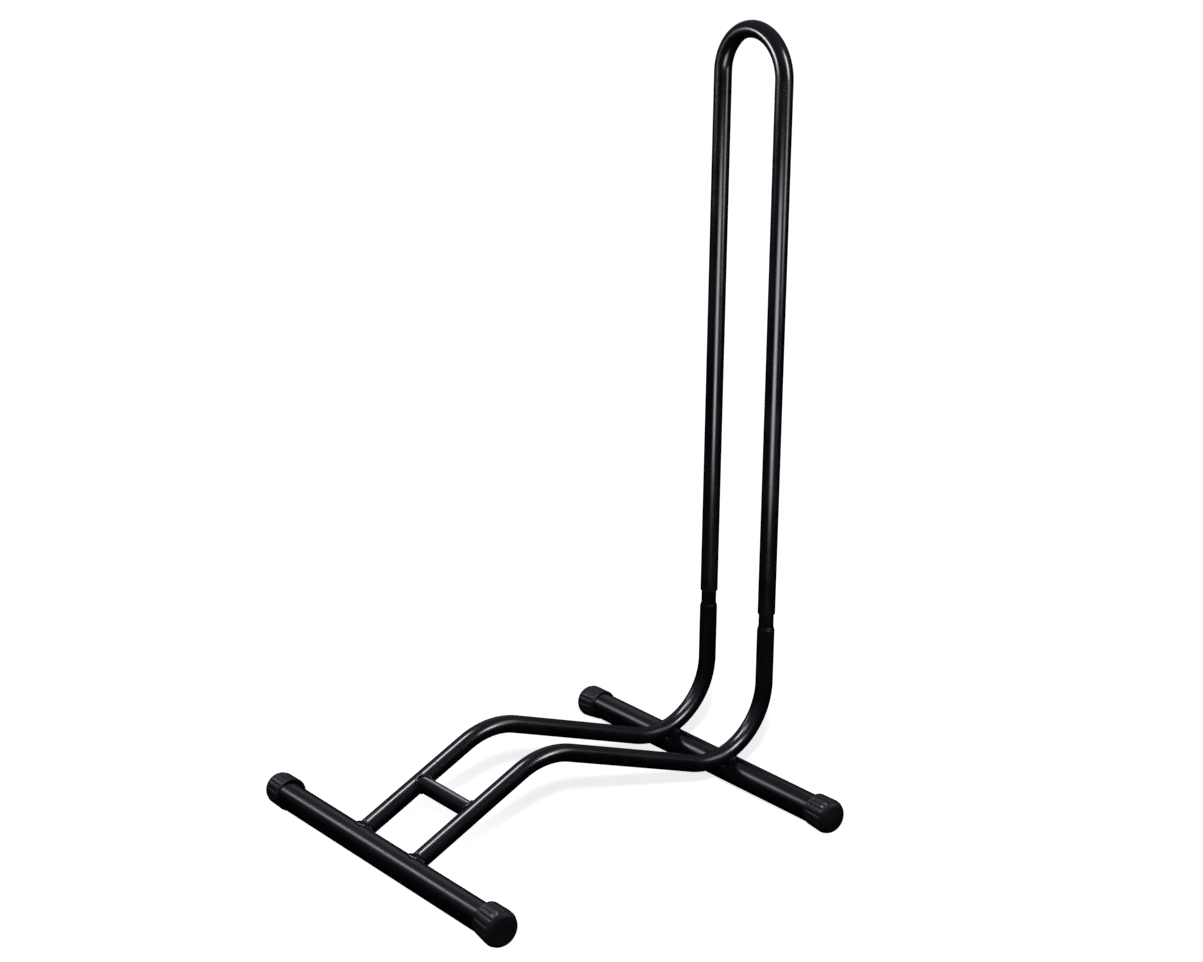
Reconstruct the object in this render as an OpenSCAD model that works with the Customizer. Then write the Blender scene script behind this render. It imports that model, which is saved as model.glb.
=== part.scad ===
// Floor stand for one bicycle wheel, made of bent and welded round steel tube.
// The tyre rolls up between two parallel rails, over their hump, and drops against
// a tall loop that is pushed onto the two upright rail ends.
// Origin: on the floor, under the middle of the overall footprint.
// +X to the right, -Y to the ramp end where the wheel comes in, +Z up. Millimetres.

/* [Cross tubes] */
// Outside diameter of the front and rear cross tubes
cross_diameter = 25; // [22:0.5:28]
// Overall width over the rubber end caps
overall_width = 359; // [300:1:420]
// Height of the cross tube centre lines above the floor
cross_height = 15.5; // [15:0.1:15.8]

/* [Rails] */
// Outside diameter of the rails and of the upper loop
rail_diameter = 16; // [15:0.1:17]
// Wall thickness of every tube
tube_wall = 1.5; // [1.2:0.1:1.6]
// Distance between the centre lines of the two rails
rail_pitch = 81.5; // [70:0.5:110]
// Height of the ramp's centre line over the front tube's centre
ramp_lift = 1.8; // [0:0.2:3]
// Angle of the ramp over the floor, in degrees
ramp_angle = 26.9; // [25:0.1:29]
// Straight length of the ramp, from the front tube's centre to the hump bend
ramp_length = 128.7; // [122:0.1:136]
// Centre line radius of the hump bend
hump_radius = 69; // [60:1:78]
// Angle turned in the hump bend, in degrees
hump_turn = 45.3; // [44:0.1:46]
// Straight length between the hump bend and the heel bend
fall_length = 144.7; // [138:0.1:150]
// Centre line radius of the heel bend
heel_radius = 64; // [60:0.5:68]
// Backward lean of the uprights, in degrees
upright_lean = 1; // [0:0.1:3]
// Straight length of the upright between the heel bend and the neck
upright_length = 49; // [30:1:100]
// Depth of the seat pressed into each rail where it sits on the rear tube
seat_depth = 0.9; // [0.5:0.1:1.2]

/* [Cross brace] */
// Outside diameter of the brace between the ramps
brace_diameter = 15; // [10:0.5:15.5]
// Distance of the brace behind the front tube
brace_reach = 65.8; // [55:0.1:80]

/* [Loop joint] */
// Length of the tapered part of each neck
neck_taper = 5.4; // [4:0.2:8]
// Length of the visible neck under the loop
neck_length = 11; // [4:0.5:20]
// Width of the shoulder on which the loop rests
neck_step = 0.35; // [0.2:0.05:0.6]
// Length of the spigot inside each loop leg
spigot_length = 45; // [30:1:80]
// Radial clearance between spigot and loop leg
spigot_clearance = 0.05; // [0.02:0.01:0.1]
// Straight length of each loop leg
leg_length = 480.6; // [300:0.1:600]

/* [End caps] */
// Outside diameter of the rubber end caps
cap_diameter = 32; // [31.8:0.1:34]
// Length of each cap along the tube
cap_length = 26; // [20:0.5:40]
// Rubber thickness over the tube's end
cap_end = 5; // [4:0.5:7]
// Rounding of the cap's outer edge
cap_round = 6.5; // [4:0.5:7]
// Rounding of the cap's mouth edge
cap_lip = 1; // [0.6:0.1:1.4]

/* [Hidden] */
$fn = 96;
fine_fn = 240;
cross_r = cross_diameter / 2;
rail_r = rail_diameter / 2;
bore_r = rail_r - tube_wall;
brace_r = brace_diameter / 2;
cap_r = cap_diameter / 2;
half_pitch = rail_pitch / 2;

// The tube gets a hair slimmer in its bends, and each straight laps over the bend's start.
bend_thinning = 0.04;
bend_lap = 0.5;

// Corners of the rail's centre line: distance behind the front tube, height over it.
fall_angle = hump_turn - ramp_angle;
heel_turn = 90 - upright_lean + fall_angle;
hump_tangent = hump_radius * tan(hump_turn / 2);
heel_tangent = heel_radius * tan(heel_turn / 2);
ramp_run = ramp_length + hump_tangent;
fall_run = fall_length + hump_tangent + heel_tangent;
hump_y = ramp_run * cos(ramp_angle);
hump_z = ramp_lift + ramp_run * sin(ramp_angle);
heel_y = hump_y + fall_run * cos(fall_angle);
heel_z = hump_z - fall_run * sin(fall_angle);

// Centre of the heel bend, and the rear tube that each rail's heel sits on.
heel_center_y = heel_y - heel_tangent * cos(fall_angle) + heel_radius * sin(fall_angle);
heel_center_z = heel_z + heel_tangent * sin(fall_angle) + heel_radius * cos(fall_angle);
seat_distance = heel_radius + rail_r + cross_r - seat_depth;
rear_y = heel_center_y + sqrt(pow(seat_distance, 2) - pow(heel_center_z, 2));
seat_tilt = atan2(rear_y - heel_center_y, heel_center_z);

// Swaged rail end and loop, measured from the end of the upright's straight.
neck_r = bore_r + neck_step;
shoulder = neck_taper + neck_length;
spigot_r = bore_r - spigot_clearance;
spigot_bore_r = spigot_r - 1.2;
spigot_tip = shoulder + spigot_length;
spigot_chamfer = 0.6;
crown = heel_tangent + upright_length + shoulder + leg_length + half_pitch;
crown_y = heel_y + crown * sin(upright_lean);

// Footprint centring.
front_shift = -(crown_y + rail_r - cap_r) / 2;

// Weld bead sizes.
bead_leg = 3;
bead_tip = 0.3;
seat_bead_r = 7;
through = 1;

// Moves from the front tube's centre line to the row's origin on the floor.
module placed() {
    translate([0, front_shift, cross_height]) children();
}

// Round bar along +Z; children start at its end. A radius of 0 only places the children.
module straight(radius, length, lead = 0, lap = 0) {
    if (radius > 0) {
        translate([0, 0, -lead]) cylinder(h = length + lead + lap, r = radius);
    }
    translate([0, 0, length]) children();
}

// Round bar bent from +Z towards +Y, or towards -Y when back is true; children start
// at its end, heading the way the bar does.
module bend(radius, bend_radius, turn, back = false) {
    flip = back ? 1 : 0;
    mirror([0, flip, 0]) translate([0, bend_radius, 0]) {
        if (radius > 0) {
            rotate([90, 0, -90])
                rotate_extrude(angle = turn)
                    translate([bend_radius, 0])
                        circle(r = radius - bend_thinning);
        }
        rotate([-turn, 0, 0]) translate([0, -bend_radius, 0]) mirror([0, flip, 0]) children();
    }
}

// Start of the ramp on the front tube, heading up the ramp.
module at_ramp() {
    translate([0, 0, ramp_lift]) rotate([ramp_angle - 90, 0, 0]) children();
}

// The whole bent run of one rail, from the front tube to the foot of the neck.
module rail_run(radius) {
    at_ramp()
        straight(radius, ramp_length, lap = bend_lap)
            bend(radius, hump_radius, hump_turn)
                straight(radius, fall_length, lead = bend_lap, lap = bend_lap)
                    bend(radius, heel_radius, heel_turn, back = true)
                        straight(radius, upright_length, lead = bend_lap)
                            children();
}

// Outside of the swaged rail end: taper, visible neck, shoulder and spigot.
module swaged_outside() {
    rotate_extrude() polygon([
        [0, -bend_lap],
        [rail_r, -bend_lap],
        [rail_r, 0],
        [neck_r, neck_taper],
        [neck_r, shoulder],
        [spigot_r, shoulder],
        [spigot_r, spigot_tip - spigot_chamfer],
        [spigot_r - spigot_chamfer, spigot_tip],
        [0, spigot_tip]
    ]);
}

// Bore of the swaged rail end, narrowing with it.
module swaged_bore() {
    rotate_extrude() polygon([
        [0, -through],
        [bore_r, -through],
        [bore_r, 0],
        [spigot_bore_r, neck_taper],
        [spigot_bore_r, spigot_tip + through],
        [0, spigot_tip + through]
    ]);
}

// Round bar along X, centred on the X axis.
module bar_along_x(radius, length) {
    translate([-length / 2, 0, 0]) rotate([0, 90, 0]) cylinder(h = length, r = radius);
}

// Round tube along X, centred on the X axis, open at both ends.
module tube_along_x(radius, length) {
    difference() {
        bar_along_x(radius, length);
        bar_along_x(radius - tube_wall, length + 2 * through);
    }
}

// Straight tube across the floor, with open ends that the end caps cover.
module cross_tube(along) {
    color("black")
        placed()
            translate([0, along, 0])
                tube_along_x(cross_r, overall_width - 2 * cap_end);
}

module front_cross_tube() {
    cross_tube(0);
}

module rear_cross_tube() {
    cross_tube(rear_y);
}

// One bent rail: coped over the front tube, seated on the rear tube, swaged on top.
module rail(side) {
    color("black") placed() translate([side * half_pitch, 0, 0]) difference() {
        rail_run(rail_r) swaged_outside();
        rail_run(bore_r) swaged_bore();
        bar_along_x(cross_r, 3 * rail_diameter);
        translate([0, rear_y, 0]) bar_along_x(cross_r, 3 * rail_diameter);
    }
}

module left_rail() {
    rail(-1);
}

module right_rail() {
    rail(1);
}

// The solid bar that fills one ramp, for coping what meets it.
module ramp_bar(side) {
    translate([side * half_pitch, 0, 0]) at_ramp() cylinder(h = ramp_length, r = rail_r);
}

// Places children at the middle of the brace, level with the ramps' centre lines.
module at_brace() {
    translate([0, brace_reach, ramp_lift + brace_reach * tan(ramp_angle)]) children();
}

// Small round tube between the ramps, its ends coped to them.
module cross_brace() {
    color("black") placed() difference() {
        at_brace() tube_along_x(brace_r, rail_pitch);
        ramp_bar(-1);
        ramp_bar(1);
    }
}

// Tall inverted U whose two legs slide over the spigots of the rails.
module wheel_loop() {
    color("black") placed() rail_run(0) translate([0, 0, shoulder]) {
        for (side = [-1, 1]) {
            translate([side * half_pitch, 0, 0]) linear_extrude(height = leg_length) tube_ring();
        }
        translate([0, 0, leg_length])
            rotate([90, 0, 0])
                rotate_extrude(angle = 180)
                    translate([half_pitch, 0])
                        tube_ring();
    }
}

// Cross-section of the loop's tube.
module tube_ring() {
    difference() {
        circle(r = rail_r);
        circle(r = bore_r);
    }
}

// Half section of an end cap: mouth at 0, closed rounded outer end at cap_length.
module cap_section() {
    difference() {
        union() {
            square([cap_r - cap_round, cap_length]);
            translate([0, cap_lip]) square([cap_r, cap_length - cap_lip - cap_round]);
            square([cap_r - cap_lip, cap_lip]);
            translate([cap_r - cap_round, cap_length - cap_round]) circle(r = cap_round);
            translate([cap_r - cap_lip, cap_lip]) circle(r = cap_lip);
        }
        translate([0, -through]) square([cross_r, cap_length - cap_end + through]);
        translate([-cap_diameter, -through]) square([cap_diameter, cap_length + 2 * through]);
    }
}

// Rubber cap on one end of a cross tube, with a flat sole on the floor.
module end_cap(side, along) {
    color("dimgray") placed() translate([0, along, 0]) difference() {
        translate([side * (overall_width / 2 - cap_length), 0, 0])
            rotate([0, side * 90, 0])
                rotate_extrude()
                    cap_section();
        translate([-overall_width, -cap_diameter, -cross_height - cap_diameter])
            cube([2 * overall_width, 2 * cap_diameter, cap_diameter]);
    }
}

module front_left_cap() {
    end_cap(-1, 0);
}

module front_right_cap() {
    end_cap(1, 0);
}

module rear_left_cap() {
    end_cap(-1, rear_y);
}

module rear_right_cap() {
    end_cap(1, rear_y);
}

// Fillet weld around the coped foot of a ramp, on the front tube.
module front_weld(side) {
    bead_base = cross_r - 5;
    bead_top = cross_r + bead_leg;
    color("black") placed() difference() {
        translate([side * half_pitch, 0, 0])
            at_ramp()
                translate([0, 0, bead_base])
                    cylinder(
                        h = bead_top - bead_base,
                        r1 = rail_r + bead_leg,
                        r2 = rail_r + bead_tip
                    );
        ramp_bar(side);
        bar_along_x(cross_r, overall_width);
    }
}

module front_left_weld() {
    front_weld(-1);
}

module front_right_weld() {
    front_weld(1);
}

// Fillet weld around one end of the brace, on the ramp.
module brace_weld(side) {
    bead_base = rail_r - 4;
    bead_top = rail_r + bead_leg;
    color("black") placed() difference() {
        at_brace()
            translate([side * half_pitch, 0, 0])
                rotate([0, -side * 90, 0])
                    translate([0, 0, bead_base])
                        cylinder(
                            h = bead_top - bead_base,
                            r1 = brace_r + bead_leg,
                            r2 = brace_r + bead_tip
                        );
        at_brace() bar_along_x(brace_r, rail_pitch);
        ramp_bar(side);
    }
}

module brace_left_weld() {
    brace_weld(-1);
}

module brace_right_weld() {
    brace_weld(1);
}

// Weld filling the wedge around the seat, between a rail's heel and the rear tube.
module rear_weld(side) {
    bead_base = cross_r - 4;
    bead_height = 8;
    $fn = fine_fn;
    color("black") placed() difference() {
        translate([side * half_pitch, rear_y, 0])
            rotate([seat_tilt, 0, 0])
                translate([0, 0, bead_base])
                    cylinder(h = bead_height, r = seat_bead_r);
        translate([side * half_pitch, 0, 0]) heel_bar();
        translate([0, rear_y, 0]) bar_along_x(cross_r, overall_width);
    }
}

// The solid bar that fills the heel bend alone.
module heel_bar() {
    at_ramp()
        straight(0, ramp_length)
            bend(0, hump_radius, hump_turn)
                straight(0, fall_length)
                    bend(rail_r, heel_radius, heel_turn, back = true);
}

module rear_left_weld() {
    rear_weld(-1);
}

module rear_right_weld() {
    rear_weld(1);
}

front_cross_tube();
rear_cross_tube();
left_rail();
right_rail();
cross_brace();
wheel_loop();
front_left_cap();
front_right_cap();
rear_left_cap();
rear_right_cap();
front_left_weld();
front_right_weld();
brace_left_weld();
brace_right_weld();
rear_left_weld();
rear_right_weld();
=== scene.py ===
"""Looks of a floor stand for one bicycle wheel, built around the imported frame.

Metres; +X is right, -Y the ramp end and +Z up.
"""
import math

import bpy
from mathutils import Matrix, Vector, noise


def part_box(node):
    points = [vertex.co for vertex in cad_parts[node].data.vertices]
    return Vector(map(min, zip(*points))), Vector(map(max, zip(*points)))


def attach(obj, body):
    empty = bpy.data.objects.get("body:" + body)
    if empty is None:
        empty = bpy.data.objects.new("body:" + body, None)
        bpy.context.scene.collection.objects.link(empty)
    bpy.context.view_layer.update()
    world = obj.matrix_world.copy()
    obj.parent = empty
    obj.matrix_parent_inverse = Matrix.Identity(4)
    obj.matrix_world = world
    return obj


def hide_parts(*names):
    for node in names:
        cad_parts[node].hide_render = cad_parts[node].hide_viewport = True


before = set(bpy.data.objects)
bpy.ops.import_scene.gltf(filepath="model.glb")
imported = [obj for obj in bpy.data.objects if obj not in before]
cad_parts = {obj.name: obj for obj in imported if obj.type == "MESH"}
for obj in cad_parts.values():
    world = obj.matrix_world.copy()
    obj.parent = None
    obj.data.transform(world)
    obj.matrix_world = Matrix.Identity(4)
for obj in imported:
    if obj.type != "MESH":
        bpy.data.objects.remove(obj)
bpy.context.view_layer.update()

MM = 0.001
WEAR = "wear"              # mesh attribute with how rubbed the surface is

# ---------------------------------------------------------------- dimensions shared with the CAD source
RAMP_LIFT = 1.8 * MM
RAMP_ANGLE = math.radians(26.9)
RAMP_LENGTH = 128.7 * MM
HUMP_RADIUS = 69 * MM
HUMP_TURN = math.radians(45.3)
FALL_LENGTH = 144.7 * MM
HEEL_RADIUS = 64 * MM
LEAN = math.radians(1)
UPRIGHT_LENGTH = 49 * MM
NECK_TAPER = 5.4 * MM
NECK_LENGTH = 11 * MM
NECK_RADIUS = 6.85 * MM
SPIGOT_RADIUS = 6.45 * MM
SPIGOT_LENGTH = 45 * MM
LEG_LENGTH = 480.6 * MM
WALL = 1.5 * MM

# ---------------------------------------------------------------- finish of the bent and welded tube
STEP = 3 * MM              # spacing of the rings along straight tube
BEND_STEP = math.radians(2)
BEND_SQUEEZE = 0.985       # bent tube is a little flatter in the plane of its bend
BEND_SPREAD = 1.004
LIP = 0.35 * MM            # rounding of a cut tube end
AROUND_RAIL = 72
AROUND_CROSS = 112
AROUND_BRACE = 64
BRACE_RINGS = 25
BITE = 0.15 * MM           # how far a coped end reaches into the tube it is welded to
EASE = math.radians(9)     # share of a bend over which its flattening sets in
CUT_BACK = 2.5 * MM        # cross tubes end this much earlier inside their caps than the CAD's
BORE_SHOWN = 40 * MM       # how deep an open tube end is hollow


def along(angle):
    """Direction in the YZ plane at an angle above +Y."""
    return Vector((0, math.cos(angle), math.sin(angle)))


def over(angle):
    """Direction in the YZ plane square to along(angle), on its upper side."""
    return Vector((0, -math.sin(angle), math.cos(angle)))


def box_middle(node):
    """Middle of a CAD node's box."""
    low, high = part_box(node)
    return (low + high) / 2


def box_radius(node, axis):
    """Half of a CAD node's box along one axis."""
    low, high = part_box(node)
    return (high[axis] - low[axis]) / 2


FRONT = box_middle("front_cross_tube")
REAR = box_middle("rear_cross_tube")
CROSS_RADIUS = box_radius("front_cross_tube", 2)
CROSS_HALF = box_radius("front_cross_tube", 0)
RAIL_RADIUS = box_radius("left_rail", 0)
RAIL_X = abs(box_middle("left_rail").x)
BRACE = box_middle("cross_brace")
BRACE_RADIUS = box_radius("cross_brace", 1)
RIGHT, BACK, UP = Vector((1, 0, 0)), Vector((0, 1, 0)), Vector((0, 0, 1))


# ---------------------------------------------------------------- mesh helpers
def loft(name, rings, wear=None, start=True, end=True):
    """A smooth skin through closed rings of equal length. start and end close it with a middle vertex."""
    count = len(rings[0])
    verts = [p for points in rings for p in points]
    worn = list(wear) if wear else [0.0] * len(rings)
    values = [w for w in worn for _ in range(count)]
    faces = []
    for i in range(len(rings) - 1):
        a, b = i * count, (i + 1) * count
        for j in range(count):
            k = (j + 1) % count
            faces.append((a + j, a + k, b + k, b + j))
    for wanted, first, flip in ((start, 0, True), (end, (len(rings) - 1) * count, False)):
        if wanted:
            loop = range(first, first + count)
            verts.append(sum((verts[i] for i in loop), Vector()) / count)
            values.append(values[first])
            middle = len(verts) - 1
            for j in range(count):
                pair = (first + j, first + (j + 1) % count)
                faces.append((middle, *(pair[::-1] if flip else pair)))
    mesh = bpy.data.meshes.new(name)
    mesh.from_pydata(verts, [], faces)
    mesh.validate()
    mesh.polygons.foreach_set("use_smooth", [True] * len(mesh.polygons))
    attribute = mesh.attributes.new(WEAR, "FLOAT", "POINT")
    attribute.data.foreach_set("value", values)
    piece = bpy.data.objects.new(name, mesh)
    bpy.context.scene.collection.objects.link(piece)
    return piece


def ring(middle, first, second, first_radius, second_radius, count):
    """A closed ring of points round middle, an ellipse on two directions with a radius on each."""
    turn = 2 * math.pi / count
    return [middle + first * (first_radius * math.cos(i * turn)) + second * (second_radius * math.sin(i * turn))
            for i in range(count)]


def steps(length, step):
    """Even stations from 0 to length, both included."""
    count = max(1, round(length / step))
    return [length * i / count for i in range(count + 1)]


def smooth(x):
    """Eased 0 to 1."""
    x = min(1.0, max(0.0, x))
    return x * x * (3 - 2 * x)


def place(piece, body, material, slot, *nodes):
    """Gives a piece its material and body and hides the CAD nodes it stands for; slot is not used."""
    piece.data.materials.append(material)
    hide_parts(*nodes)
    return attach(piece, body)


# ---------------------------------------------------------------- node helpers
def new_material(name):
    """An empty node material with its shader and object coordinates."""
    material = bpy.data.materials.new(name)
    material.use_nodes = True
    tree = material.node_tree
    tree.nodes.clear()
    out = tree.nodes.new("ShaderNodeOutputMaterial")
    shader = tree.nodes.new("ShaderNodeBsdfPrincipled")
    tree.links.new(shader.outputs["BSDF"], out.inputs["Surface"])
    place_from = tree.nodes.new("ShaderNodeTexCoord")
    return material, tree, shader, place_from.outputs["Object"]


def cloud(tree, coords, scale, detail, rough=0.55):
    """Noise from 0 to 1 in object space."""
    node = tree.nodes.new("ShaderNodeTexNoise")
    node.inputs["Scale"].default_value = scale
    node.inputs["Detail"].default_value = detail
    node.inputs["Roughness"].default_value = rough
    tree.links.new(coords, node.inputs["Vector"])
    return node.outputs["Fac"]


def span(tree, value, low, high, to_low, to_high):
    """Maps value from low..high to to_low..to_high, clamped."""
    node = tree.nodes.new("ShaderNodeMapRange")
    for key, number in (("From Min", low), ("From Max", high), ("To Min", to_low), ("To Max", to_high)):
        node.inputs[key].default_value = number
    tree.links.new(value, node.inputs["Value"])
    return node.outputs["Result"]


def maths(tree, operation, a, b):
    """One arithmetic node; b is a number or a socket."""
    node = tree.nodes.new("ShaderNodeMath")
    node.operation = operation
    tree.links.new(a, node.inputs[0])
    if isinstance(b, (int, float)):
        node.inputs[1].default_value = b
    else:
        tree.links.new(b, node.inputs[1])
    return node.outputs["Value"]


def blend_colour(tree, factor, a, b):
    """Mixes two colours, each a tuple or a socket."""
    node = tree.nodes.new("ShaderNodeMix")
    node.data_type = "RGBA"
    tree.links.new(factor, node.inputs["Factor"])
    for key, colour in (("A", a), ("B", b)):
        socket = next(s for s in node.inputs if s.name == key and s.type == "RGBA")
        if isinstance(colour, tuple):
            socket.default_value = (*colour, 1)
        else:
            tree.links.new(colour, socket)
    return next(s for s in node.outputs if s.type == "RGBA")


def blend_value(tree, factor, a, b):
    """Mixes a number's socket with a plain number."""
    node = tree.nodes.new("ShaderNodeMix")
    tree.links.new(factor, node.inputs["Factor"])
    tree.links.new(a, node.inputs["A"])
    node.inputs["B"].default_value = b
    return node.outputs["Result"]


def painted_wear(tree):
    """The wear kept on the mesh, 0 to 1."""
    node = tree.nodes.new("ShaderNodeAttribute")
    node.attribute_name = WEAR
    return node.outputs["Fac"]


def bump(tree, height, distance, strength=1.0, below=None):
    """A bump node; below is the normal it builds on."""
    node = tree.nodes.new("ShaderNodeBump")
    node.inputs["Strength"].default_value = strength
    node.inputs["Distance"].default_value = distance
    tree.links.new(height, node.inputs["Height"])
    if below is not None:
        tree.links.new(below, node.inputs["Normal"])
    return node.outputs["Normal"]


# ---------------------------------------------------------------- materials
# noise scales are in cycles per metre
IOR = 1.5
NOISE_BAND = (0.3, 0.7)    # where most of a noise's values lie
PAINT_DARK = (0.0025, 0.0022, 0.0031)
PAINT_LIGHT = (0.0048, 0.0043, 0.0059)
PAINT_WORN = (0.060, 0.058, 0.060)
PAINT_SLOW, PAINT_FINE, PAINT_RUB = 22, 420, 700
PAINT_WAVES, PAINT_PEEL = 95, 520
PAINT_TONE_BAND = (0.35, 0.65)
RUB_BAND = (0.36, 0.46)    # wear times noise at which paint starts to be rubbed, and is rubbed through
GLOSS_CHANGE, FINE_GLOSS = 0.045, (-0.02, 0.03)
WORN_ROUGHNESS = 0.48
WORN_DEPTH, WORN_STRENGTH = 0.02 * MM, 0.4
# roughness, depth of the orange peel, depth of the waves
TUBE_FINISH = (0.22, 0.003 * MM, 0.03 * MM)
WELD_FINISH = (0.17, 0.03 * MM, 0.12 * MM)
RUBBER_DARK = (0.0051, 0.0047, 0.0060)
RUBBER_LIGHT = (0.0102, 0.0094, 0.0120)
RUBBER_RIDGE = (0.0143, 0.0133, 0.0165)
RUBBER_SLOW, RUBBER_GRAIN = 55, 1300
RUBBER_TONE_BAND, RIDGE_BAND = (0.35, 0.7), (0.2, 1.0)
RUBBER_ROUGHNESS, GRAIN_GLOSS, RIDGE_ROUGHNESS = (0.42, 0.54), (-0.03, 0.04), 0.36
RUBBER_SPECULAR = 0.38
GRAIN_DEPTH, GRAIN_STRENGTH = 0.05 * MM, 0.6


def paint_material(name, roughness, peel, lumps):
    """Black gloss paint on steel: orange peel, slow gloss changes, fine specks and rubbed cut edges."""
    material, tree, shader, coords = new_material(name)
    slow = cloud(tree, coords, PAINT_SLOW, 3)
    fine = cloud(tree, coords, PAINT_FINE, 4)
    patches = cloud(tree, coords, PAINT_RUB, 6, 0.7)
    rubbed = span(tree, maths(tree, "MULTIPLY", painted_wear(tree), patches), *RUB_BAND, 0, 1)
    colour = blend_colour(tree, span(tree, slow, *PAINT_TONE_BAND, 0, 1), PAINT_DARK, PAINT_LIGHT)
    tree.links.new(blend_colour(tree, rubbed, colour, PAINT_WORN), shader.inputs["Base Color"])
    wide = span(tree, slow, *NOISE_BAND, roughness - GLOSS_CHANGE, roughness + GLOSS_CHANGE)
    gloss = maths(tree, "ADD", wide, span(tree, fine, *NOISE_BAND, *FINE_GLOSS))
    tree.links.new(blend_value(tree, rubbed, gloss, WORN_ROUGHNESS), shader.inputs["Roughness"])
    waves = bump(tree, cloud(tree, coords, PAINT_WAVES, 2), lumps)
    skin = bump(tree, cloud(tree, coords, PAINT_PEEL, 3), peel, below=waves)
    tree.links.new(bump(tree, rubbed, WORN_DEPTH, WORN_STRENGTH, skin), shader.inputs["Normal"])
    shader.inputs["IOR"].default_value = IOR
    return material


def rubber_material():
    """Black moulded rubber: fine grain, dull bloom and slightly polished ridges."""
    material, tree, shader, coords = new_material("black_rubber")
    slow = cloud(tree, coords, RUBBER_SLOW, 4)
    grain = cloud(tree, coords, RUBBER_GRAIN, 3, 0.6)
    colour = blend_colour(tree, span(tree, slow, *RUBBER_TONE_BAND, 0, 1), RUBBER_DARK, RUBBER_LIGHT)
    ridge = span(tree, painted_wear(tree), *RIDGE_BAND, 0, 1)
    tree.links.new(blend_colour(tree, ridge, colour, RUBBER_RIDGE), shader.inputs["Base Color"])
    gloss = maths(tree, "ADD", span(tree, slow, *NOISE_BAND, *RUBBER_ROUGHNESS),
                  span(tree, grain, *NOISE_BAND, *GRAIN_GLOSS))
    tree.links.new(blend_value(tree, ridge, gloss, RIDGE_ROUGHNESS), shader.inputs["Roughness"])
    tree.links.new(bump(tree, grain, GRAIN_DEPTH, GRAIN_STRENGTH), shader.inputs["Normal"])
    shader.inputs["IOR"].default_value = IOR
    shader.inputs["Specular IOR Level"].default_value = RUBBER_SPECULAR
    return material


# ---------------------------------------------------------------- rails
def rail_stations():
    """Centre line of a rail in the YZ plane: (point, direction angle, share of bending) from ramp to neck."""
    at = Vector((0, FRONT.y, FRONT.z + RAMP_LIFT))
    angle = RAMP_ANGLE
    made = []

    def straight(length):
        nonlocal at
        made.extend((at + along(angle) * s, angle, 0.0) for s in steps(length, STEP)[:-1])
        at = at + along(angle) * length

    def bend(radius, turn):
        nonlocal at, angle
        side = 1 if turn > 0 else -1
        centre = at + over(angle) * (radius * side)
        first = angle
        for t in steps(abs(turn), BEND_STEP)[:-1]:
            angle = first + t * side
            bent = smooth(t / EASE) * smooth((abs(turn) - t) / EASE)
            made.append((centre - over(angle) * (side * radius), angle, bent))
        angle = first + turn
        at = centre - over(angle) * (side * radius)

    straight(RAMP_LENGTH)
    bend(HUMP_RADIUS, -HUMP_TURN)
    straight(FALL_LENGTH)
    bend(HEEL_RADIUS, math.pi / 2 - LEAN - (RAMP_ANGLE - HUMP_TURN))
    straight(UPRIGHT_LENGTH)
    return made, at, angle


def neck_profile():
    """(distance above the full tube, radius, wear) over the swaged neck and spigot and back inside it."""
    shoulder = NECK_TAPER + NECK_LENGTH
    top = shoulder + SPIGOT_LENGTH
    bore = SPIGOT_RADIUS - WALL
    swage = [(s, RAIL_RADIUS + (NECK_RADIUS - RAIL_RADIUS) * smooth(s / NECK_TAPER), 0.0)
             for s in steps(NECK_TAPER, 0.4 * MM)]
    neck = [(NECK_TAPER + s, NECK_RADIUS, 0.0) for s in steps(NECK_LENGTH, 1.5 * MM)[1:-1]]
    step = [(shoulder - 0.15 * MM, NECK_RADIUS, 0.6), (shoulder, NECK_RADIUS - 0.1 * MM, 0.9),
            (shoulder + 0.03 * MM, SPIGOT_RADIUS + 0.08 * MM, 0.7), (shoulder + 0.1 * MM, SPIGOT_RADIUS, 0.5)]
    spigot = [(shoulder + s, SPIGOT_RADIUS, 0.55) for s in steps(SPIGOT_LENGTH - 1.2 * MM, STEP)[1:]]
    lead = [(top - 0.5 * MM, SPIGOT_RADIUS - 0.35 * MM, 0.8), (top, SPIGOT_RADIUS - 0.8 * MM, 1.0),
            (top - 0.05 * MM, bore + 0.1 * MM, 0.9), (top - 0.4 * MM, bore, 0.3), (top - BORE_SHOWN, bore, 0.0)]
    return swage[1:] + neck + step + spigot + lead


def cope(point):
    """Slides a point of the ramp's skin along the ramp onto the front tube's surface."""
    ahead = along(RAMP_ANGLE)
    dy, dz = point.y - FRONT.y, point.z - FRONT.z
    b = dy * ahead.y + dz * ahead.z
    c = dy * dy + dz * dz - (CROSS_RADIUS - BITE) ** 2
    return point + ahead * (-b + math.sqrt(max(0.0, b * b - c)))


def seat(point):
    """Presses a point that would lie inside the rear tube onto its surface."""
    away = Vector((0, point.y - REAR.y, point.z - REAR.z))
    if away.length < CROSS_RADIUS:
        return point + away.normalized() * (CROSS_RADIUS - away.length)
    return point


def bent_radii(bent):
    """Radii of the rails' tube in the plane of a bend and across it."""
    return RAIL_RADIUS * (1 + (BEND_SQUEEZE - 1) * bent), RAIL_RADIUS * (1 + (BEND_SPREAD - 1) * bent)


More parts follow.
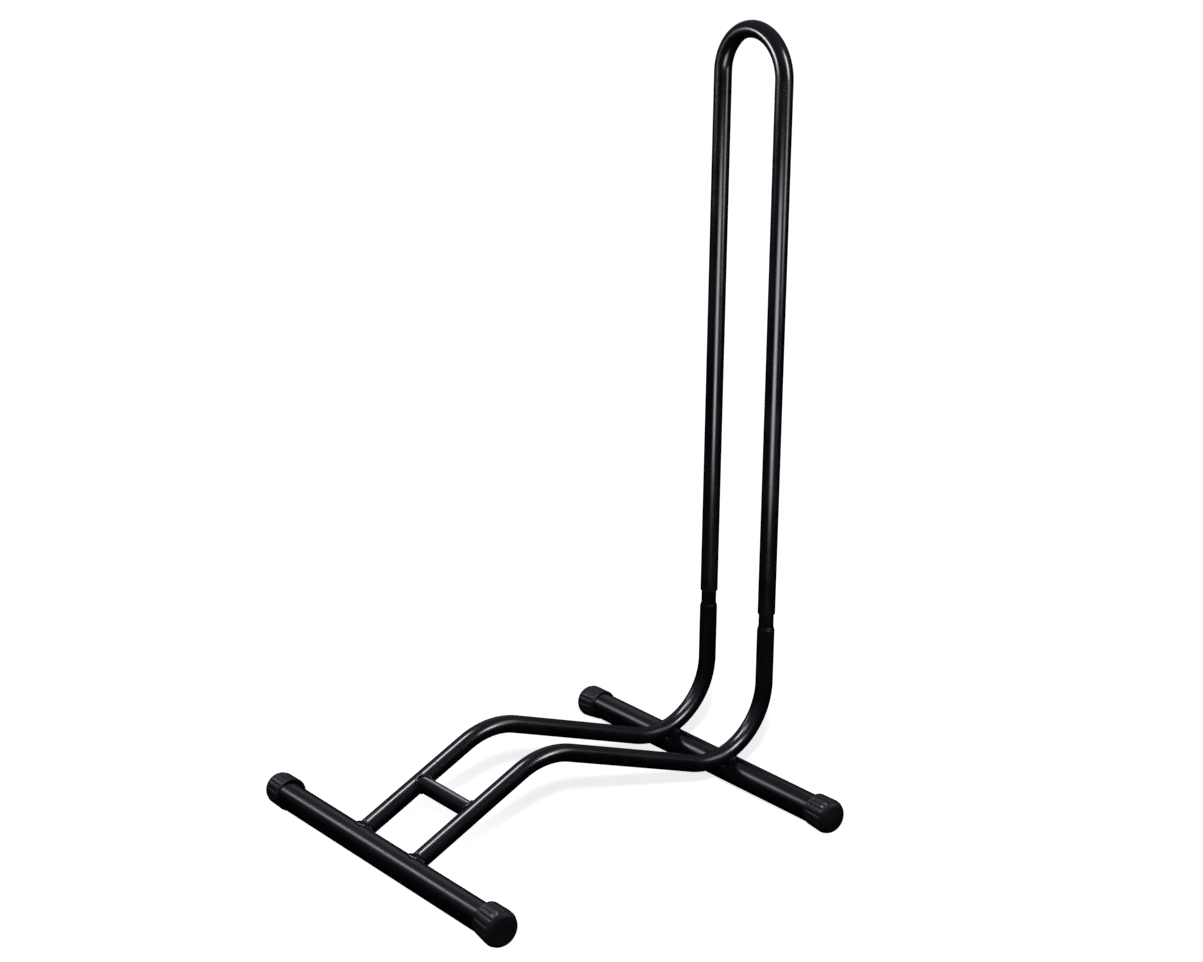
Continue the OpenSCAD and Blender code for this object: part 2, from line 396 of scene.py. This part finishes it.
def make_rail(side, material):
    """One rail as a single skin: coped ramp, bends, pressed seat, swaged neck, spigot and its bore."""
    stations, top, angle = rail_stations()
    x = RAIL_X * (1 if side == "right" else -1)
    rings, wear = [], []
    for middle, turned, bent in stations:
        flat, wide = bent_radii(bent)
        rings.append(ring(middle + RIGHT * x, over(turned), RIGHT, flat, wide, AROUND_RAIL))
        wear.append(0.0)
    start = [cope(p) for p in rings[0]]
    reach = max((p - q).length for p, q in zip(start, rings[0]))
    past = next(i for i in range(len(rings)) if i * STEP > reach + STEP)
    rings = [start] + rings[past:]
    wear = [0.0] + wear[past:]
    for s, radius, worn in [(0.0, RAIL_RADIUS, 0.0)] + neck_profile():
        rings.append(ring(top + along(angle) * s + RIGHT * x, over(angle), RIGHT, radius, radius, AROUND_RAIL))
        wear.append(worn)
    rings = [[seat(p) for p in r] for r in rings]
    piece = loft(side + "_rail_skin", rings, wear)
    return place(piece, "base", material, "painted_tube", side + "_rail")


# ---------------------------------------------------------------- wheel loop
def leg_profile():
    """(distance above the foot, radius, wear) from inside a leg of the loop, round its lip, up its outside."""
    bore = SPIGOT_RADIUS + 0.05 * MM
    r = RAIL_RADIUS
    lip = [(BORE_SHOWN, bore), (0.5 * MM, bore), (0.1 * MM, bore + 0.08 * MM), (0, bore + 0.25 * MM),
           (0, r - LIP), (0.1 * MM, r - 0.12 * MM), (LIP, r - 0.02 * MM), (0.7 * MM, r)]
    made = [(s, radius, 0.9 if s < 0.6 * MM else 0.1) for s, radius in lip]
    return made + [(s, r, max(0.0, 0.8 - s / (6 * MM))) for s in steps(LEG_LENGTH, STEP)[1:]]


def make_loop(material):
    """The tall inverted U with its open, slightly rounded leg ends."""
    up = Vector((0, math.sin(LEAN), math.cos(LEAN)))
    back = Vector((0, math.cos(LEAN), -math.sin(LEAN)))
    foot = rail_stations()[1] + up * (NECK_TAPER + NECK_LENGTH)
    crown = foot + up * LEG_LENGTH
    rings, wear = [], []

    def leg_ring(sign, height, radius, worn):
        middle = foot + up * height + RIGHT * (sign * RAIL_X)
        rings.append(ring(middle, RIGHT * sign, back, radius, radius, AROUND_RAIL))
        wear.append(worn)

    for s, radius, worn in leg_profile():
        leg_ring(-1, s, radius, worn)
    for t in steps(math.pi, BEND_STEP)[1:-1]:
        out = -RIGHT * math.cos(t) + up * math.sin(t)
        flat, wide = bent_radii(smooth(t / EASE) * smooth((math.pi - t) / EASE))
        rings.append(ring(crown + out * RAIL_X, out, back, flat, wide, AROUND_RAIL))
        wear.append(0.0)
    for s, radius, worn in reversed(leg_profile()):
        leg_ring(1, s, radius, worn)
    piece = loft("wheel_loop_skin", rings, wear)
    return place(piece, "loop", material, "painted_tube", "wheel_loop")


# ---------------------------------------------------------------- cross tubes and brace
def make_cross_tube(end, material):
    """A straight cross tube; its cut ends lie inside the caps."""
    middle = FRONT if end == "front" else REAR
    node = end + "_cross_tube"
    half = CROSS_HALF - CUT_BACK
    rings = [ring(Vector((s - half, middle.y, middle.z)), BACK, UP, CROSS_RADIUS, CROSS_RADIUS, AROUND_CROSS)
             for s in steps(2 * half, STEP)]
    piece = loft(node + "_skin", rings)
    return place(piece, "base", material, "painted_tube", node)


def brace_edge(turn, bite):
    """Distance from the middle plane where a line of the brace meets the rail."""
    off = BRACE_RADIUS * math.sin(turn - RAMP_ANGLE)
    return RAIL_X - math.sqrt(max(0.0, (RAIL_RADIUS - bite) ** 2 - off * off))


def brace_point(x, turn):
    """A point on the brace's skin."""
    return Vector((x, BRACE.y + BRACE_RADIUS * math.cos(turn), BRACE.z + BRACE_RADIUS * math.sin(turn)))


def make_brace(material):
    """The small round brace, coped to both ramps."""
    turns = [2 * math.pi * i / AROUND_BRACE for i in range(AROUND_BRACE)]
    shares = [2 * i / (BRACE_RINGS - 1) - 1 for i in range(BRACE_RINGS)]
    rings = [[brace_point(share * brace_edge(t, BITE), t) for t in turns] for share in shares]
    piece = loft("cross_brace_skin", rings)
    return place(piece, "base", material, "painted_tube", "cross_brace")


# ---------------------------------------------------------------- weld beads
AROUND_BEAD = 14
ALONG_BEAD = 160
BEAD_THICK, BEAD_WIDE, BEAD_LIFT = 0.92, 1.12, 0.22    # shares of a bead's half size
RIPPLE_LOW, RIPPLE = 0.88, 0.16
LUMP_SCALE, LUMP = 260, 0.16
SEAT_WELD = (6.2 * MM, 5.6 * MM)    # half length and half width of the ring under a heel
SEAT_SINK = 0.3 * MM


def bead(name, curve, size, pitch, seed):
    """A rippled weld bead along a closed curve of points, each with the normals of the two skins it joins."""
    points = [point for point, _ in curve]
    rings = []
    run = 0.0
    for i, (p, (n1, n2)) in enumerate(curve):
        run += (p - points[i - 1]).length if i else 0.0
        ahead = (points[(i + 1) % len(points)] - points[i - 1]).normalized()
        out = (n1 + n2).normalized()
        out = (out - ahead * out.dot(ahead)).normalized()
        phase = (run / pitch) % 1.0
        scale = RIPPLE_LOW + RIPPLE * math.sqrt(max(0.0, 1 - (2 * phase - 1) ** 2))
        scale *= 1 + LUMP * noise.noise(p * LUMP_SCALE + Vector((seed, 0, 0)))
        thick, wide = size * scale * BEAD_THICK, size * scale * BEAD_WIDE
        rings.append(ring(p + out * (size * BEAD_LIFT), out, ahead.cross(out), thick, wide, AROUND_BEAD))
    rings.append([q.copy() for q in rings[0]])
    piece = loft(name, rings, start=False, end=False)
    close_and_round(piece)
    return piece


def close_and_round(piece):
    """Joins the closing ring and smooths with one subdivision."""
    weld = piece.modifiers.new("close", "WELD")
    weld.merge_threshold = 0.01 * MM
    rounding = piece.modifiers.new("round", "SUBSURF")
    rounding.levels = rounding.render_levels = 1


def ramp_weld_point(sign, t):
    """A point where the ramp's skin meets the front tube's skin, with both normals."""
    n1 = over(RAMP_ANGLE) * math.cos(t) + RIGHT * math.sin(t)
    p = cope(Vector((sign * RAIL_X, FRONT.y, FRONT.z + RAMP_LIFT)) + n1 * RAIL_RADIUS)
    return p, (n1, Vector((0, p.y - FRONT.y, p.z - FRONT.z)).normalized())


def brace_weld_point(sign, t):
    """A point where the brace's skin meets the ramp's skin, with both normals."""
    p = brace_point(sign * brace_edge(t, 0), t)
    ahead = along(RAMP_ANGLE)
    from_axis = p - Vector((sign * RAIL_X, BRACE.y, BRACE.z))
    return p, (along(t), (from_axis - ahead * from_axis.dot(ahead)).normalized())


def seat_weld_point(sign, t):
    """A point of the ring in the crevice where the heel sits on the rear tube."""
    heel = heel_centre()
    down = Vector((0, REAR.y - heel.y, REAR.z - heel.z)).normalized()
    ahead = Vector((0, -down.z, down.y))
    middle = Vector((sign * RAIL_X, REAR.y, REAR.z)) - down * (CROSS_RADIUS - SEAT_SINK)
    out = ahead * math.cos(t) + RIGHT * math.sin(t)
    u, v = SEAT_WELD[0] * math.cos(t), SEAT_WELD[1] * math.sin(t)
    drop = u * u / (2 * CROSS_RADIUS)
    rise = v * v / (2 * RAIL_RADIUS) + u * u / (2 * (HEEL_RADIUS + RAIL_RADIUS))
    return middle + ahead * u + RIGHT * v + down * ((drop - rise) / 2), (out, out)


def heel_centre():
    """Centre of the heel bend in the YZ plane: the rail's only bend whose angle grows."""
    stations = rail_stations()[0]
    point, angle, _ = next(a for a, b in zip(stations, stations[1:]) if b[1] > a[1])
    return point + over(angle) * HEEL_RADIUS


# each bead's curve, half size, pitch of its ripples, left bead's seed, and what the right one adds to it
WELDS = {
    "front": (ramp_weld_point, 1.9 * MM, 2.1 * MM, 0, 7.3),
    "brace": (brace_weld_point, 1.5 * MM, 1.9 * MM, 20, 5.1),
    "rear": (seat_weld_point, 1.5 * MM, 2.0 * MM, 40, 3.7),
}


def make_welds(material):
    """All six beads, each for its CAD weld node."""
    made = []
    for seed_steps, (side, sign) in enumerate((("left", -1), ("right", 1))):
        for where, (point_at, size, pitch, seed, seed_step) in WELDS.items():
            node = f"{where}_{side}_weld"
            curve = [point_at(sign, 2 * math.pi * i / ALONG_BEAD) for i in range(ALONG_BEAD)]
            piece = bead(node + "_bead", curve, size, pitch, seed + seed_steps * seed_step)
            made.append(place(piece, "base", material, "weld_beads", node))
    return made


# ---------------------------------------------------------------- rubber caps
RIBS = 16
AROUND_CAP = RIBS * 12
RIB_HEIGHT = 0.6 * MM
CAP_DOME = 8.2 * MM        # length of the rounded outer end
CAP_EDGE = 6.2 * MM        # how far the rounding comes in
CROWN = 1.0 * MM           # bulge of the end face
CAP_LIP = 1.1 * MM         # rounding of the mouth
RIB_START, RIB_RISE = 2.0 * MM, 2.2 * MM
RIB_END, RIB_FALL = 6.5 * MM, 5 * MM
LIP_SHARE = 0.45           # how far the inside of a mouth follows the mouth's offset
FACE_RINGS = (0.75, 0.5, 0.25, 0.08)
# radius, offset back and offset up at the mouth and at the outer end in mm, and the turn of the ribs in degrees
CAPS = {
    "front_right": ((15.0, 1.0, 1.65), (16.4, 0.3, 0.5), 8.5),
    "front_left": ((15.2, 2.2, 0.2), (14.9, 2.2, 0.5), 12.0),
    "rear_right": ((14.5, 0.9, 0.7), (15.5, 0.4, 0.2), 15.0),
    "rear_left": ((14.0, 0.6, 0.4), (15.1, -0.5, -0.2), 3.0),
}


def cap_profile(depth):
    """(distance from the mouth, share from mouth to end, inset, rib share) down the outside of a cap."""
    wall = depth - CAP_DOME - CROWN
    made = [(0.0, 0.0, CAP_LIP, 0), (0.12 * MM, 0.0, 0.5 * MM, 0), (0.5 * MM, 0.0, 0.12 * MM, 0),
            (CAP_LIP, 0.05, 0.0, 0)]

    def rib(at):
        return smooth((at - RIB_START) / RIB_RISE) * smooth((wall + RIB_END - at) / RIB_FALL)

    for s in steps(wall - CAP_LIP, 0.6 * MM)[1:]:
        made.append((CAP_LIP + s, (CAP_LIP + s) / wall, 0.0, rib(CAP_LIP + s)))
    for t in steps(math.pi / 2, math.radians(5))[1:]:
        at = wall + CAP_DOME * math.sin(t)
        made.append((at, 1.0, CAP_EDGE * (1 - math.cos(t)), rib(at)))
    return made


def cap_ring(x, centre, radius, rib, turn):
    """One ribbed ring of a cap, flattened where it stands on the floor, and how worn each of its points is."""
    made, worn = [], []
    for i in range(AROUND_CAP):
        a = 2 * math.pi * i / AROUND_CAP
        crest = smooth((0.5 + 0.5 * math.cos(RIBS * (a - turn))) * 2.2 - 0.1)
        r = radius - RIB_HEIGHT * rib * (1 - crest)
        made.append(Vector((x, centre[0] + r * math.cos(a), max(0.0, centre[1] + r * math.sin(a)))))
        worn.append(rib * crest)
    return made, worn


def make_cap(name, material):
    """A ribbed rubber cap, its mouth standing off the tube on one side."""
    end, side = name.split("_")
    node = name + "_cap"
    low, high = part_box(node)
    sign = 1 if side == "right" else -1
    mouth_x, depth = (low.x if sign > 0 else high.x), high.x - low.x
    axis = FRONT if end == "front" else REAR
    mouth, outer, turn = CAPS[name]
    rings, worn = [], []

    def section(share):
        radius, back, up = [(m + (o - m) * share) * MM for m, o in zip(mouth, outer)]
        return radius, (axis.y + back, axis.z + up)

    def add(at, radius, centre, rib=0):
        made, values = cap_ring(mouth_x + sign * at, centre, radius, rib, math.radians(turn))
        rings.append(made)
        worn.append(values)

    add(7 * MM, CROSS_RADIUS - 0.1 * MM, (axis.y, axis.z))
    add(5 * MM, CROSS_RADIUS + 0.2 * MM, (axis.y, axis.z))
    _, back, up = [m * LIP_SHARE * MM for m in mouth]
    add(0.4 * MM, CROSS_RADIUS + 0.75 * MM, (axis.y + back, axis.z + up))
    for at, share, inset, rib in cap_profile(depth):
        radius, centre = section(share)
        add(at, radius - inset, centre, rib)
    radius, centre = section(1.0)
    for k in FACE_RINGS:
        add(depth + CROWN * (1 - k * k) - CROWN, (radius - CAP_EDGE) * k, centre)
    if sign > 0:
        rings = [[r[0]] + r[:0:-1] for r in rings]
        worn = [[w[0]] + w[:0:-1] for w in worn]
    piece = loft(node + "_rubber", rings, start=False)
    values = [v for ring_values in worn for v in ring_values] + [0.0]
    piece.data.attributes[WEAR].data.foreach_set("value", values)
    return place(piece, "base", material, "rubber_caps", node)


# ---------------------------------------------------------------- studio
CAMERA_AT = (1.6813, -1.2449, 0.9490)
CAMERA_TILT = 90 - 16.976
CAMERA_TURN = 52.664
LENS, SENSOR = 76.27, 36.0
CLIP = (0.05, 200)
# the floor glows, a painted light: a little less near the stand, so the shadow light's shadows show there, and
# white further off, which paints them out; the glow's faint violet tints the shadows
FLOOR_HALF = 40
FLOOR_TONES = (0.80, 0.80, 0.81), (0.82, 0.82, 0.83)
FLOOR_GLOW = (0.985, 0.978, 1.0, 1)
FLOOR_GLOW_NEAR, FLOOR_GLOW_FAR = 0.85, 1.04
GLOW_CENTRE, GLOW_START, GLOW_END = (-0.05, 0.12, 0), 0.10, 0.29
BACKDROP, BACKDROP_GAIN = (1, 1, 1, 1), 1.05
CEILING_TINT = (0.90, 0.82, 1.08, 1)
CEILING, HORIZON, OVERHEAD = 0.22, -0.05, 0.8
FRONT_TINT, SIDE_TINT = (0.953, 0.912, 1.0), (0.923, 0.909, 1.0)
# words in the names of the pieces that a softbox lights
ALL, LOOP, RAMPS, BRACE_PARTS, CAP_PARTS, WELD_PARTS = "", "loop", "rail", "brace", "cap", "weld"
FRONT_PARTS, REAR_PARTS, FRONT_TUBE, REAR_TUBE = "front", "rear", "front_cross", "rear_cross"
# name, place, aimed at, direction of its height, (width, height), radiance,
# share of the width and of the height that fades, tint, words for the lit pieces
SOFTBOXES = [
    ("left_box", (-1.28, -0.65, 0.98), (0, -0.06, 0.02), UP, (0.68, 0.85), 4.75, (1.0, 1.0), FRONT_TINT,
     (RAMPS, CAP_PARTS, WELD_PARTS)),
    ("front_bar_box", (-1.257, -0.70, 0.98), (0, -0.19, 0.02), UP, (0.36, 0.85), 6.3, (1.0, 0.9), FRONT_TINT,
     (FRONT_TUBE,)),
    ("rear_bar_box", (-1.216, -0.70, 0.92), (0, 0.157, 0.015), UP, (0.66, 0.75), 5.9, (1.0, 1.0), FRONT_TINT,
     (REAR_TUBE,)),
    ("overhead_box", (-0.31, -0.425, 1.485), (0, -0.14, 0.045), along(RAMP_ANGLE), (0.54, 0.80), 21.6,
     (0.8, 0.5), FRONT_TINT, (RAMPS, BRACE_PARTS, CAP_PARTS, FRONT_PARTS)),
    ("leg_box", (0.29, 0.01, 0.34), (0, 0.19, 0.34), UP, (0.32, 0.42), 7.9, (0.9, 0.55), SIDE_TINT,
     (LOOP,)),
    ("heel_side_box", (0.476, 0.213, 0.403), (0, 0.155, 0.042), UP, (0.25, 0.22), 27.2, (0.8, 0.8), SIDE_TINT,
     (RAMPS,)),
    ("heel_top_box", (0.357, -1.51, 2.51), (0, 0.17, 0.052), UP, (0.70, 0.75), 14.6, (0.8, 0.8), SIDE_TINT,
     (RAMPS,)),
    ("leg_top_box", (1.13, 0.61, 0.36), (0, 0.20, 0.60), UP, (0.75, 0.30), 6.8, (1.0, 0.6), SIDE_TINT,
     (LOOP,)),
    ("crown_right", (1.10, 0.50, 1.14), (0, 0.20, 0.66), UP, (0.50, 1.35), 25.1, (1.0, 0.5), SIDE_TINT,
     (LOOP,)),
    ("crown_left", (-0.634, -0.81, 0.754), (0, 0.20, 0.67), UP, (0.84, 0.36), 27.2, (0.6, 0.9), SIDE_TINT,
     (LOOP,)),
    ("right_back_box", (0.98, 1.05, 1.10), (0, -0.05, 0.08), UP, (1.0, 0.9), 3.2, (0.6, 0.6), SIDE_TINT,
     (RAMPS, BRACE_PARTS, FRONT_PARTS, REAR_PARTS)),
    ("left_back_box", (-1.40, 0.75, 0.95), (0, -0.05, 0.05), UP, (1.3, 0.9), 0.2, (0.6, 0.6), SIDE_TINT,
     (ALL,)),
    ("behind_box", (-1.0, 1.15, 0.15), (0, 0.15, 0.35), UP, (0.45, 0.70), 4.0, (0.8, 0.6), SIDE_TINT,
     (LOOP,)),
    ("brace_box", (-1.30, 0.72, 0.95), (0, -0.13, 0.05), UP, (1.1, 0.8), 2.0, (0.6, 0.6), SIDE_TINT,
     (BRACE_PARTS,)),
]
SHADOW_LIGHT_AT, SHADOW_LIGHT_SIZE, SHADOW_LIGHT_GAIN = (3.79, -3.06, 3.37), (0.34, 0.34), 420.0


def soft_edges(data, softness):
    """Fades an area light's radiance towards its edges, as a diffuser cloth does."""
    data.use_nodes = True
    tree = data.node_tree
    emission = next(n for n in tree.nodes if n.type == "EMISSION")
    at = tree.nodes.new("ShaderNodeNewGeometry")
    split = tree.nodes.new("ShaderNodeSeparateXYZ")
    tree.links.new(at.outputs["Parametric"], split.inputs[0])
    fades = []
    for axis, soft in zip("XY", softness):
        off = maths(tree, "ABSOLUTE", maths(tree, "SUBTRACT", split.outputs[axis], 0.5), 0)
        fade = span(tree, off, 0.5 - soft / 2, 0.5, 1, 0)
        fade.node.interpolation_type = "SMOOTHSTEP"
        fades.append(fade)
    tree.links.new(maths(tree, "MULTIPLY", *fades), emission.inputs["Strength"])


def add_light(name, place_at, target, upright, size, radiance):
    """An area light, unseen by the camera, that faces target with its height along the upright direction."""
    data = bpy.data.lights.new(name, "AREA")
    data.shape = "RECTANGLE"
    data.size, data.size_y = size
    data.energy = 4 * size[0] * size[1] * radiance
    light = bpy.data.objects.new(name, data)
    backward = (Vector(place_at) - Vector(target)).normalized()
    upward = (upright - backward * upright.dot(backward)).normalized()
    light.matrix_world = Matrix((upward.cross(backward), upward, backward)).transposed().to_4x4()
    light.location = place_at
    light.visible_camera = False
    bpy.context.scene.collection.objects.link(light)
    return light


def light_only(light, pieces, words):
    """Keeps a light on the pieces whose names hold one of the words, as flags on stands would."""
    lit = bpy.data.collections.new(light.name + "_lit")
    for piece in pieces:
        if any(word in piece.name for word in words):
            lit.objects.link(piece)
    light.light_linking.receiver_collection = lit


def make_softboxes(pieces):
    """Softboxes that shape the reflections, and one small light that draws the faint shadows on the floor."""
    for name, place_at, target, upright, size, radiance, softness, tint, words in SOFTBOXES:
        light = add_light(name, place_at, target, upright, size, radiance)
        soft_edges(light.data, softness)
        light.data.color = tint
        light.visible_diffuse = False
        light_only(light, pieces, words)
    shadow = add_light("shadow_light", SHADOW_LIGHT_AT, (0, 0, 0.1), UP, SHADOW_LIGHT_SIZE, SHADOW_LIGHT_GAIN)
    shadow.visible_glossy = False


def make_floor():
    """A plain pale floor made white by its own glow, a painted light, out of the paint's reflections."""
    mesh = bpy.data.meshes.new("floor")
    corners = [(x * FLOOR_HALF, y * FLOOR_HALF, 0) for x, y in ((-1, -1), (1, -1), (1, 1), (-1, 1))]
    mesh.from_pydata(corners, [], [(0, 1, 2, 3)])
    floor = bpy.data.objects.new("floor", mesh)
    bpy.context.scene.collection.objects.link(floor)
    material, tree, shader, coords = new_material("pale_floor")
    tone = blend_colour(tree, cloud(tree, coords, 3, 2), *FLOOR_TONES)
    tree.links.new(tone, shader.inputs["Base Color"])
    shader.inputs["Roughness"].default_value = 0.6
    shader.inputs["Specular IOR Level"].default_value = 0.1
    shader.inputs["Emission Color"].default_value = FLOOR_GLOW
    distance = tree.nodes.new("ShaderNodeVectorMath")
    distance.operation = "DISTANCE"
    distance.inputs[1].default_value = GLOW_CENTRE
    tree.links.new(coords, distance.inputs[0])
    # painted light: the glow is weaker round GLOW_CENTRE, where the shadow light's shadows stay grey, and lifts
    # the floor to white beyond, painting the shadows out there
    glow = span(tree, distance.outputs["Value"], GLOW_START, GLOW_END, FLOOR_GLOW_NEAR, FLOOR_GLOW_FAR)
    glow.node.interpolation_type = "SMOOTHSTEP"
    tree.links.new(glow, shader.inputs["Emission Strength"])
    mesh.materials.append(material)
    floor.visible_glossy = False
    floor.visible_diffuse = False


def make_world():
    """White to the camera; to everything else a dim ceiling that darkens to nothing at the horizon."""
    world = bpy.data.worlds.new("studio")
    world.use_nodes = True
    tree = world.node_tree
    tree.nodes.clear()
    out = tree.nodes.new("ShaderNodeOutputWorld")
    ray = tree.nodes.new("ShaderNodeLightPath")
    coords = tree.nodes.new("ShaderNodeTexCoord")
    split = tree.nodes.new("ShaderNodeSeparateXYZ")
    tree.links.new(coords.outputs["Generated"], split.inputs[0])
    seen = tree.nodes.new("ShaderNodeBackground")
    seen.inputs["Color"].default_value = BACKDROP
    seen.inputs["Strength"].default_value = BACKDROP_GAIN
    dim = tree.nodes.new("ShaderNodeBackground")
    dim.inputs["Color"].default_value = CEILING_TINT
    ceiling = span(tree, split.outputs["Z"], HORIZON, OVERHEAD, 0.0, CEILING)
    ceiling.node.interpolation_type = "SMOOTHSTEP"
    unlit = maths(tree, "SUBTRACT", ceiling, maths(tree, "MULTIPLY", ceiling, ray.outputs["Is Diffuse Ray"]))
    tree.links.new(unlit, dim.inputs["Strength"])
    mix = tree.nodes.new("ShaderNodeMixShader")
    tree.links.new(ray.outputs["Is Camera Ray"], mix.inputs["Fac"])
    tree.links.new(dim.outputs["Background"], mix.inputs[1])
    tree.links.new(seen.outputs["Background"], mix.inputs[2])
    tree.links.new(mix.outputs["Shader"], out.inputs["Surface"])
    bpy.context.scene.world = world


def make_camera():
    """The photograph's view."""
    data = bpy.data.cameras.new("camera")
    data.lens, data.sensor_width, data.sensor_fit = LENS, SENSOR, "HORIZONTAL"
    data.clip_start, data.clip_end = CLIP
    camera = bpy.data.objects.new("camera", data)
    camera.location = CAMERA_AT
    camera.rotation_euler = (math.radians(CAMERA_TILT), 0, math.radians(CAMERA_TURN))
    bpy.context.scene.collection.objects.link(camera)
    bpy.context.scene.camera = camera


# ---------------------------------------------------------------- build
def build():
    """Everything, in the order it is seen: camera, studio, then the stand."""
    make_camera()
    make_floor()
    make_world()
    tube_paint = paint_material("gloss_black_paint", *TUBE_FINISH)
    weld_paint = paint_material("painted_weld", *WELD_FINISH)
    rubber = rubber_material()
    pieces = [make_rail(side, tube_paint) for side in ("left", "right")]
    pieces.append(make_loop(tube_paint))
    pieces += [make_cross_tube(end, tube_paint) for end in ("front", "rear")]
    pieces.append(make_brace(tube_paint))
    pieces += make_welds(weld_paint)
    pieces += [make_cap(name, rubber) for name in CAPS]
    make_softboxes(pieces)
    bpy.context.scene.view_settings.view_transform = "Standard"


build()
